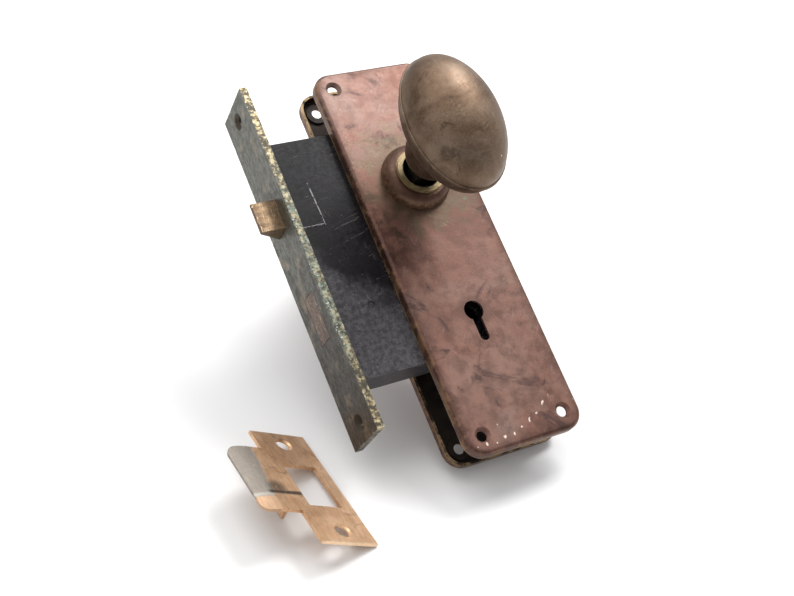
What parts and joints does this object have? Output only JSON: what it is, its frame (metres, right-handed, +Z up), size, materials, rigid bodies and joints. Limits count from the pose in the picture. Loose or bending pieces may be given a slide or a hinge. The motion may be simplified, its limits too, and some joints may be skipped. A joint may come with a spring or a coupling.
{
  "type": "mortise lock",
  "caption": "Mortise lock set with a spring latch, a key-operated dead bolt, oval knobs on a square spindle, pressed trims with keyholes and a lipped strike.",
  "frame": {"origin": "middle of the faceplate's two screw holes, on its outer face", "axes": "+Z up the faceplate, -X out of the door's edge through the faceplate, -Y towards the front knob"},
  "size_m": [0.1427, 0.1544, 0.206],
  "materials": {
    "faceplate_brass": "old brass with grey-green patina, bright worn edges",
    "case_black": "black japanned cast iron, scratched and dusty",
    "latch_brass": "tan brass, worn dark at the nose",
    "bolt_brass": "brown patinated brass",
    "trim_bronze": "reddish brown patinated pressed brass",
    "collar_bronze": "reddish brown, worn to brass at the top ring",
    "knob_bronze": "olive brown patinated brass, worn highlights",
    "strike_copper": "copper-tan plating, worn silvery on the lip",
    "dark_steel": "dark oxidised steel",
    "spring_steel": "oiled spring steel",
    "inner_brass": "cast brass, lightly oiled"
  },
  "bodies": {
    "lock_case": {"case": "case_black", "case_cover": "case_black", "cover_screws": "dark_steel", "faceplate": "faceplate_brass", "faceplate_rivets": "faceplate_brass", "lever_post": "dark_steel", "bolt_guide_post": "dark_steel", "latch_spring": "spring_steel", "lever_spring": "spring_steel"},
    "spindle_set": {"hub": "dark_steel", "spindle": "dark_steel", "front_knob_front_shell": "knob_bronze", "front_knob_back_shell": "knob_bronze", "front_knob_shank": "knob_bronze", "front_knob_set_screw": "dark_steel", "rear_knob_front_shell": "knob_bronze", "rear_knob_back_shell": "knob_bronze", "rear_knob_shank": "knob_bronze", "rear_knob_set_screw": "dark_steel"},
    "latch": {"latch_bolt": "latch_brass", "latch_tail": "inner_brass", "latch_rivets": "dark_steel"},
    "dead_bolt": {"bolt_head": "bolt_brass", "bolt_tail": "inner_brass", "bolt_rivets": "dark_steel"},
    "lever": {"tumbler_lever": "inner_brass"},
    "front_trim": {"front_plate": "trim_bronze", "front_collar": "collar_bronze"},
    "rear_trim": {"rear_plate": "trim_bronze", "rear_collar": "collar_bronze"},
    "strike": {"strike_plate": "strike_copper"}
  },
  "joints": [
    {"name": "knob_turn", "type": "hinge", "parent": "lock_case", "child": "spindle_set", "pos_m": [0.0635, 0, 0.023], "axis": [0, 1, 0], "range_deg": [0, 50], "stiffness_Nm_per_rad": 0.15, "springref_deg": -8.59},
    {"name": "latch_slide", "type": "slide", "parent": "lock_case", "child": "latch", "axis": [1, 0, 0], "range_m": [0, 0.0115], "stiffness_N_per_m": 350, "springref_m": -0.006, "deforming": ["latch_spring"]},
    {"name": "bolt_throw", "type": "slide", "parent": "lock_case", "child": "dead_bolt", "axis": [-1, 0, 0], "range_m": [0, 0.012]},
    {"name": "lever_lift", "type": "hinge", "parent": "lock_case", "child": "lever", "pos_m": [0.018, 0, -0.009], "axis": [0, -1, 0], "range_deg": [0, 11.46], "deforming": ["lever_spring"]},
    {"name": "front_trim_slide", "type": "slide", "parent": "lock_case", "child": "front_trim", "axis": [0, -1, 0], "range_m": [0, 0.005]},
    {"name": "rear_trim_slide", "type": "slide", "parent": "lock_case", "child": "rear_trim", "axis": [0, 1, 0], "range_m": [0, 0.005]},
    {"name": "strike_slide", "type": "slide", "parent": "lock_case", "child": "strike", "axis": [-1, 0, 0], "range_m": [0, 0.03]}
  ],
  "couplings": [
    {"joint": "latch_slide", "follows": "knob_turn", "m_per_rad": 0.013177},
    {"joint": "lever_lift", "follows": "bolt_throw", "rad_per_m": 16.666}
  ]
}
